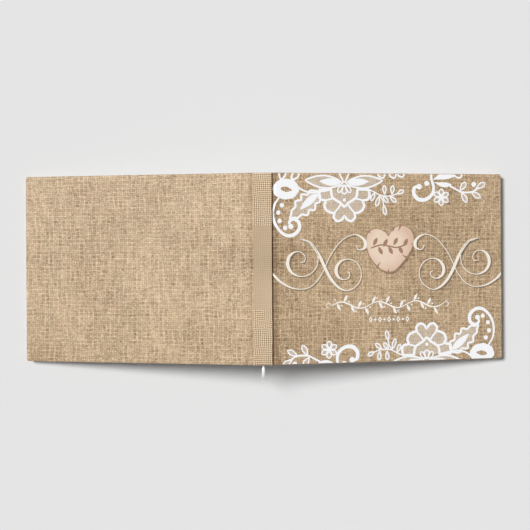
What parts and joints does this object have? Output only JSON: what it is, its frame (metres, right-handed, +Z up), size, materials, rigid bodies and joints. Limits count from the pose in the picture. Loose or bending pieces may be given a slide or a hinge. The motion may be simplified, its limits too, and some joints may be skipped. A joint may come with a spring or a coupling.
{
  "type": "wedding guest book",
  "caption": "Landscape case-bound guest book with burlap-print covers, lace and a wood heart on the front, open face down like a low tent, with sewn leaves and a satin marker ribbon.",
  "frame": {"origin": "on the table, midway between the two fore-edges and midway between head and tail", "axes": "+X towards the front cover, +Y towards the head of the book, +Z up out of the spine"},
  "size_m": [0.5732, 0.2421, 0.0632],
  "materials": {
    "burlap_print": "matt cover sheet printed with tan burlap",
    "grey_board": "bare grey board",
    "leaf_paper": "uncoated off-white",
    "endpaper": "smooth white",
    "kraft_paper": "brown kraft",
    "mull_gauze": "stiffened open gauze",
    "linen_thread": "waxed linen",
    "band_cloth": "wound white and tan thread",
    "satin_ribbon": "white satin"
  },
  "bodies": {
    "front_leaves": {"signature_1": "leaf_paper", "signature_2": "leaf_paper", "signature_3": "leaf_paper", "signature_4": "leaf_paper", "front_flyleaf": "endpaper", "front_gutter_folds": "leaf_paper", "front_joint_cloth": "burlap_print"},
    "spine": {"spine_board": "grey_board", "spine_wrap": "burlap_print", "spine_lining_paper": "kraft_paper", "spine_mull": "mull_gauze", "sewing_thread": "linen_thread", "head_band": "band_cloth", "tail_band": "band_cloth", "ribbon_marker": "satin_ribbon"},
    "back_leaves": {"signature_5": "leaf_paper", "signature_6": "leaf_paper", "signature_7": "leaf_paper", "signature_8": "leaf_paper", "back_flyleaf": "endpaper", "back_gutter_folds": "leaf_paper", "back_joint_cloth": "burlap_print"},
    "front_cover": {"front_board": "grey_board", "front_cover_wrap": "burlap_print", "front_pastedown": "endpaper"},
    "back_cover": {"back_board": "grey_board", "back_cover_wrap": "burlap_print", "back_pastedown": "endpaper"},
    "turning_leaf": {"turning_leaf": "leaf_paper"},
    "ribbon_tail": {"ribbon_tail": "satin_ribbon"}
  },
  "joints": [
    {"name": "front_half_closing", "type": "hinge", "parent": "front_leaves", "child": "spine", "pos_m": [0.01063, 0, 0.06317], "axis": [0, -1, 0], "range_deg": [0, 79], "deforming": ["front_gutter_folds"]},
    {"name": "back_half_closing", "type": "hinge", "parent": "spine", "child": "back_leaves", "pos_m": [-0.01063, 0, 0.06317], "axis": [0, -1, 0], "range_deg": [0, 79], "deforming": ["back_gutter_folds"]},
    {"name": "front_cover_lift", "type": "hinge", "parent": "front_leaves", "child": "front_cover", "pos_m": [0.01735, 0, 0.06187], "axis": [0, -1, 0], "range_deg": [0, 175], "deforming": ["front_joint_cloth"]},
    {"name": "back_cover_lift", "type": "hinge", "parent": "back_leaves", "child": "back_cover", "pos_m": [-0.01735, 0, 0.06187], "axis": [0, -1, 0], "range_deg": [-175, 0], "deforming": ["back_joint_cloth"]},
    {"name": "leaf_turn", "type": "hinge", "parent": "front_leaves", "child": "turning_leaf", "pos_m": [0.01335, 0, 0.05225], "axis": [0, -1, 0], "range_deg": [-158, 0]},
    {"name": "ribbon_swing", "type": "hinge", "parent": "spine", "child": "ribbon_tail", "pos_m": [0, -0.1102, 0.05557], "axis": [0, 0, 1], "range_deg": [-45, 45]}
  ]
}
